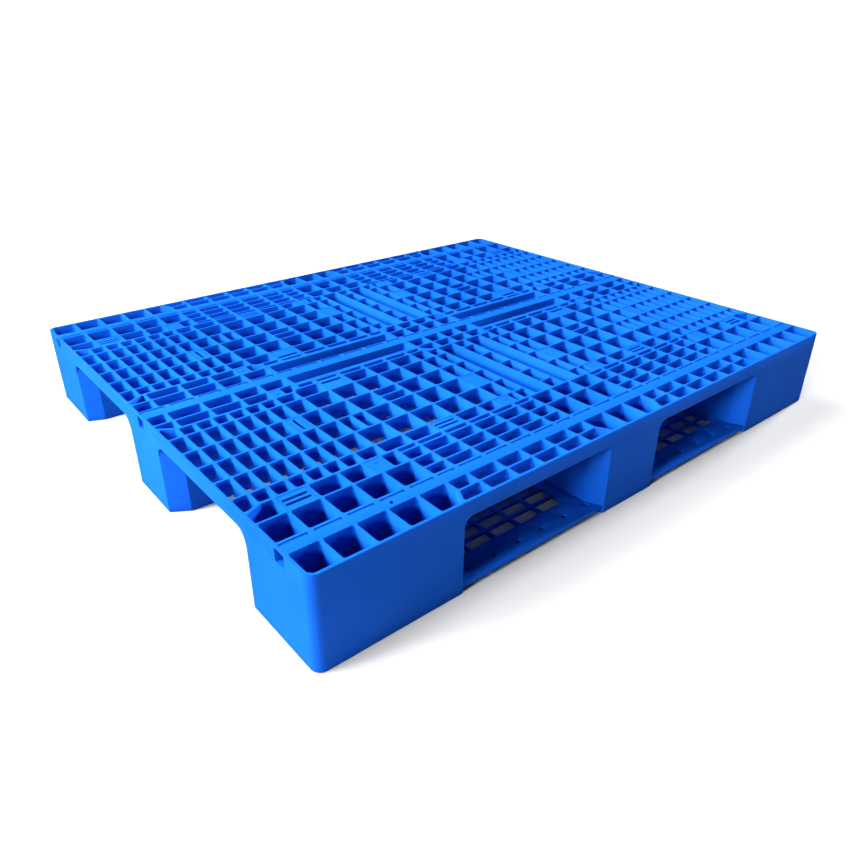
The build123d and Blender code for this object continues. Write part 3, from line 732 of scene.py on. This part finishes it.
def make_deck():
    """Deck grid with its rim, plates, grooves and tube channels."""
    shell = Shell()
    footprint = box_outline(0, LENGTH, 0, WIDTH)
    loops = [shell.loop(rounded(footprint, gap, CORNER_RADIUS, CORNER_STEPS), height)
             for height, gap in soft_edge(HEIGHT, RIM_ROUND, 1) + [(DECK_BOTTOM, 0)]]
    shell.band(loops[0], loops[1], True)
    shell.band(loops[1], loops[2], True)
    right_side = 2 * CORNER_STEPS + 1
    left_side = 4 * CORNER_STEPS + 3
    shell.band(loops[2], loops[3], True, skip=(right_side, left_side))
    mouths = [tube_channel(shell, y) for y in (TUBE_Y, WIDTH / 2, WIDTH - TUBE_Y)]
    for side, index, up in ((left_side, 0, False), (right_side, 1, True)):
        after = (side + 1) % len(loops[2])
        frame_ring = [loops[2][side], loops[2][after], loops[3][after], loops[3][side]]
        shell.fill(frame_ring, [pair[index] for pair in mouths], up=up, axes=(1, 2))
    top_holes = []
    bottom_holes = []
    for cell in deck_cells():
        rim, foot = shell.wall(lambda gap: rounded(cell, gap, CELL_RADIUS, CELL_STEPS),
                               soft_edge(HEIGHT, RIB_ROUND) + [(DECK_BOTTOM, drafted(DECK_BOTTOM))],
                               False)
        top_holes.append(rim)
        bottom_holes.append(foot)
    for outline, slots, gate in PLATES:
        for flip_x in (False, True):
            for flip_y in (False, True):
                mark = turned([gate], flip_x, flip_y)[0] if gate else None
                rim, foot = deck_plate(shell, turned(outline, flip_x, flip_y),
                                       [turned(slot, flip_x, flip_y) for slot in slots], mark)
                top_holes.append(rim)
                bottom_holes.append(foot)
    top_holes += [blind_pocket(shell, outline, GROOVE_DEPTH) for outline in grooves()]
    top_holes.append(blind_pocket(shell, NICK, NICK_DEPTH))
    shell.fill(loops[0], top_holes)
    shell.fill(loops[3], bottom_holes, up=False)
    shell.piece("deck_moulding", "deck_grille", "deck_plastic")


# Legs and runners ---------------------------------------------------------------------------

# Outline, rib lines and places of the screws of each kind of leg
SIDE_ROWS = [0] + TUBE_LINES + [LEG_ROW, LEG_Y]
MID_ROWS = [MID_LEG_Y, MID_LEG_ROW] + MID_TUBE_LINES + [WIDTH - MID_LEG_ROW, WIDTH - MID_LEG_Y]
SIDE_SCREWS = (TUBE_LINES[0], LEG_ROW)
MID_SCREWS = (MID_LEG_ROW, WIDTH - MID_LEG_ROW)
LEG_PLANS = {
    "corner": (CORNER_LEG, CORNER_LEG_LINES, SIDE_ROWS, (49.2, 196.8), SIDE_SCREWS),
    "side": (SIDE_LEG, SIDE_LEG_LINES, SIDE_ROWS, (575, 625), SIDE_SCREWS),
    "end": (END_LEG, END_LEG_LINES, MID_ROWS, (36, 198), MID_SCREWS),
    "centre": (CENTRE_LEG, CENTRE_LEG_LINES, MID_ROWS, (560, 640), MID_SCREWS),
}

# Name, kind of leg, and whether it is mirrored in x and in y
LEGS = [
    ("near_left", "corner", False, False), ("near_mid", "side", False, False),
    ("near_right", "corner", True, False), ("mid_left", "end", False, False),
    ("centre", "centre", False, False), ("mid_right", "end", True, False),
    ("far_left", "corner", False, True), ("far_mid", "side", False, True),
    ("far_right", "corner", True, True),
]


class Leg:
    """Plan of one leg, in its own quarter."""

    def __init__(self, kind, flip_x, flip_y):
        outline, x_lines, y_lines, screw_x, screw_y = LEG_PLANS[kind]
        bounds = CORNER_LEG_ROUNDED if kind == "corner" else outline
        self.outline = turned(outline, flip_x, flip_y)
        self.cells = [turned(c, flip_x, flip_y) for c in leg_grid(x_lines, y_lines, bounds)]
        self.screws = [turned([(x, y)], flip_x, flip_y)[0] for x in screw_x for y in screw_y]
        corners = ((0, 0), (LENGTH, 0), (0, WIDTH), (LENGTH, WIDTH))
        self.radii = [CORNER_RADIUS if p in corners else EDGE_RADIUS for p in self.outline]

    def edge(self, gap):
        """Outer loop, inset by gap."""
        return rounded(self.outline, gap, self.radii, CORNER_STEPS)


def make_leg(name, leg):
    """Hollow leg whose cells carry on from the deck's, with bosses for the runner's screws."""
    shell = Shell()
    top, bottom = shell.wall(leg.edge, [(DECK_BOTTOM, 0), (RUNNER_TOP + SEAM, 0),
                                        (RUNNER_TOP, SEAM)], True)
    upper = []
    lower = []
    for cell in leg.cells:
        first, last = shell.wall(lambda gap: rounded(cell, gap, CELL_RADIUS, CELL_STEPS),
                                 [(DECK_BOTTOM, drafted(DECK_BOTTOM)),
                                  (RUNNER_TOP, drafted(RUNNER_TOP))], False)
        upper.append(first)
        lower.append(last)
    shell.fill(top, upper)
    shell.fill(bottom, lower, up=False)
    for x, y in leg.screws:
        shell.post(x, y, LEG_BOSS_RADIUS, RUNNER_TOP + SEAM, LEG_BOSS_TOP)
    shell.piece("leg_moulding_" + name, "leg_" + name, "leg_plastic")


def add_foot(shell, leg):
    """Shallow tray of a runner under one leg, with drains and screw seats in its sole."""
    top, sole = shell.wall(leg.edge, [(RUNNER_TOP, SEAM), (RUNNER_TOP - SEAM, 0)] + SOLE_EDGE, True)
    pockets = []
    drains = []
    for cell in leg.cells:
        shape = rounded(cell, drafted(RUNNER_TOP), CELL_RADIUS, CELL_STEPS)
        rim, floor = shell.wall(lambda gap: shape, [(RUNNER_TOP, 0), (SKIN, 0)], False)
        x, y = middle(cell)
        mouth, end = shell.wall(lambda gap: circle(x, y, DRAIN_RADIUS - gap),
                                [(SKIN, 0)] + MOUTH_EDGE, False)
        shell.fill(floor, [mouth])
        pockets.append(rim)
        drains.append(end)
    for x, y in leg.screws:
        seat, mouth = shell.wall(lambda gap: circle(x, y, SEAT_RADIUS - gap, SEAT_SIDES),
                                 [(SEAT_DEPTH, 0)] + MOUTH_EDGE, False)
        shell.fill(seat, up=False)
        drains.append(mouth)
        shell.post(x, y, FOOT_BOSS_RADIUS, SEAT_DEPTH + BOSS_ROOF, RUNNER_TOP - BOSS_GAP)
    shell.fill(top, pockets)
    shell.fill(sole, drains, up=False)


def bar_outline(in_middle):
    """Plan of the first bar of a runner, rooted in the feet and their chamfers on either side."""
    if in_middle:
        low = MID_LEG_Y + BAR_SETBACK
        return box_outline(LEG_X - WALL, CENTRE_LEG_X + WALL, low, WIDTH - low)
    left = LEG_X - BAR_ROOT
    right = MID_LEG_X + BAR_ROOT
    lead = LEAD_IN_ALONG_X * (1 - BAR_SETBACK / LEAD_IN_REACH_Y)
    high = LEG_Y - BAR_SETBACK
    return [(left - lead, BAR_SETBACK), (right + lead, BAR_SETBACK), (right, LEAD_IN_REACH_Y),
            (right, high), (left, high), (left, LEAD_IN_REACH_Y)]


def add_bar(shell, flip_x, flip_y, in_middle):
    """Thin perforated bar between two feet."""
    outline = turned(bar_outline(in_middle), flip_x, flip_y)
    levels = below(RUNNER_TOP, BAR_EDGE) + [(BAR_UNDERSIDE + BAR_ROUND, 0), (BAR_UNDERSIDE, BAR_ROUND)]
    rim, sole = shell.wall(lambda gap: rounded(outline, gap, BAR_RADIUS, CELL_STEPS), levels, True)
    shapes = []
    for cell in grid(BAR_RIB_LINES, MID_BAR_ROW_LINES if in_middle else BAR_ROW_LINES):
        cell = turned(cell, flip_x, flip_y)
        shapes.append(lambda gap, cell=cell: rounded(cell, gap, CELL_RADIUS, CELL_STEPS))
    if not in_middle:
        for i in range(BAR_HOLES):
            (x, y), = turned([(BAR_FIRST_HOLE + BAR_PITCH * i, BAR_HOLE_Y)], flip_x, flip_y)
            shapes.append(lambda gap, x=x, y=y: circle(x, y, BAR_HOLE_RADIUS - gap))
    upper = []
    lower = []
    levels = soft_edge(RUNNER_TOP, BAR_CELL_ROUND) + [(BAR_UNDERSIDE, 0)]
    for shape in shapes:
        first, last = shell.wall(shape, levels, False)
        upper.append(first)
        lower.append(last)
    shell.fill(rim, upper)
    shell.fill(sole, lower, up=False)


def make_runner(row, legs):
    """Three feet and the two bars between them."""
    shell = Shell()
    for leg in legs:
        add_foot(shell, leg)
    for flip_x in (False, True):
        add_bar(shell, flip_x, row == "far", row == "mid")
    shell.piece("runner_moulding_" + row, "runner_" + row, "runner_plastic")


def make_legs_and_runners():
    """Every leg, and the runner under each row of them."""
    rows = {"near": [], "mid": [], "far": []}
    for name, kind, flip_x, flip_y in LEGS:
        leg = Leg(kind, flip_x, flip_y)
        make_leg(name, leg)
        row = name.split("_")[0]
        rows["mid" if row == "centre" else row].append(leg)
    for row, legs in rows.items():
        make_runner(row, legs)


def dress_cad_nodes():
    """Own finish for the CAD nodes that stay: gussets, tubes, plugs and screws."""
    slots = {part["node"]: part["material_slot"] for part in frame["record"]["subparts"]}
    for node, thing in frame["nodes"].items():
        if node.startswith(("opening_gussets", "steel_tube", "tube_plug", "runner_screws")):
            thing.data.materials.clear()
            thing.data.materials.append(MATERIALS[slots[node]])


# Stage, in metres ---------------------------------------------------------------------------

# The floor is two close tones, in rings that are level as far as FLOOR_FLAT and then curve up
FLOOR_DARK = (0.33, 0.33, 0.33)
FLOOR_LIGHT = (0.34, 0.34, 0.34)
FLOOR_SIDES = 64
FLOOR_RINGS = 21
FLOOR_START = 4.0
FLOOR_STEP = 1.8
FLOOR_FLAT = 6.0
FLOOR_RUN = 34.0
FLOOR_RISE = 3.4
FLOOR_CURVE = 1.6

# Name of each distant lamp, the way to it, its strength and its spread in degrees
SUNS = [
    ("left_lamp", (-1.0, 0.30, 0.50), 5.5, 12),
    ("front_lamp", (-1.0, -0.16, 0.34), 5.0, 12),
    ("back_lamp", (-0.20, 1.00, 0.45), 7.5, 25),
    ("right_lamp", (1.0, 0.02, 0.40), 16.0, 12),
]
BOX_SIZE = 0.5
BOX_POWER = 60.0
BOX_PLACE = (-1.5, 0.20, 0.88)
BOX_TARGET = (-0.5, -0.4, 0.1)
AIR_GLOW = 0.06

CAMERA_PLACE = (-0.9023, -1.0657, 0.6767)
CAMERA_TURN = (61.958, -0.186, -39.505)
SENSOR = 36.0
LENS = 30.98


def make_floor():
    """Plain pale floor that rises gently far away, so that it meets the eye's horizon."""
    nodes = Nodes("floor_paint")
    nodes.link(nodes.ramp(nodes.noise(2.0), [(0.3, FLOOR_DARK), (0.7, FLOOR_LIGHT)]),
               nodes.shader.inputs["Base Color"])
    nodes.shader.inputs["Roughness"].default_value = 0.9
    nodes.shader.inputs["Specular IOR Level"].default_value = FAINT_GLOSS
    mesh = bmesh.new()
    rings = []
    for step in range(FLOOR_RINGS):
        radius = FLOOR_START + FLOOR_STEP * step
        height = FLOOR_RISE * max(0.0, (radius - FLOOR_FLAT) / FLOOR_RUN) ** FLOOR_CURVE
        rings.append([mesh.verts.new((x, y, height)) for x, y in circle(0, 0, radius, FLOOR_SIDES)])
    mesh.faces.new(rings[0])
    for inner, outer in zip(rings, rings[1:]):
        for i in range(FLOOR_SIDES):
            j = (i + 1) % FLOOR_SIDES
            mesh.faces.new((inner[i], outer[i], outer[j], inner[j])).smooth = True
    data = bpy.data.meshes.new("floor")
    mesh.to_mesh(data)
    mesh.free()
    data.materials.append(nodes.material)
    floor = bpy.data.objects.new("floor", data)
    floor.visible_glossy = False
    bpy.context.scene.collection.objects.link(floor)


def aimed(data, position, target):
    """Lamp at a position, turned towards a point."""
    lamp = bpy.data.objects.new(data.name, data)
    lamp.location = position
    lamp.rotation_euler = (Vector(target) - Vector(position)).to_track_quat("-Z", "Y").to_euler()
    bpy.context.scene.collection.objects.link(lamp)
    return lamp


def make_light():
    """Low distant lamps all round that leave no highlights, and a soft box near the left end."""
    for name, towards, strength, spread in SUNS:
        sun = bpy.data.lights.new(name, "SUN")
        sun.angle = math.radians(spread)
        sun.energy = strength
        aimed(sun, towards, (0, 0, 0)).visible_glossy = False
    box = bpy.data.lights.new("soft_box", "AREA")
    box.size = BOX_SIZE
    box.energy = BOX_POWER
    aimed(box, BOX_PLACE, BOX_TARGET)
    bpy.context.scene.view_settings.view_transform = "Standard"


def make_surround():
    """Dim even air, which is plain white to the eye."""
    world = bpy.data.worlds.new("surround")
    world.use_nodes = True
    tree = world.node_tree
    path = tree.nodes.new("ShaderNodeLightPath")
    level = tree.nodes.new("ShaderNodeMath")
    level.operation = "MAXIMUM"
    level.inputs[1].default_value = AIR_GLOW
    tree.links.new(path.outputs["Is Camera Ray"], level.inputs[0])
    tree.links.new(level.outputs[0], tree.nodes["Background"].inputs["Strength"])
    tree.nodes["Background"].inputs["Color"].default_value = (1.0, 1.0, 1.0, 1.0)
    bpy.context.scene.world = world


def make_camera():
    """Camera at the near left corner, looking down across the deck."""
    data = bpy.data.cameras.new("camera")
    data.sensor_width = SENSOR
    data.lens = LENS
    data.clip_start = 0.05
    data.clip_end = 100.0
    camera = bpy.data.objects.new("camera", data)
    camera.location = CAMERA_PLACE
    camera.rotation_euler = [math.radians(angle) for angle in CAMERA_TURN]
    bpy.context.scene.collection.objects.link(camera)
    bpy.context.scene.camera = camera


make_deck()
make_legs_and_runners()
dress_cad_nodes()
make_floor()
make_light()
make_surround()
make_camera()
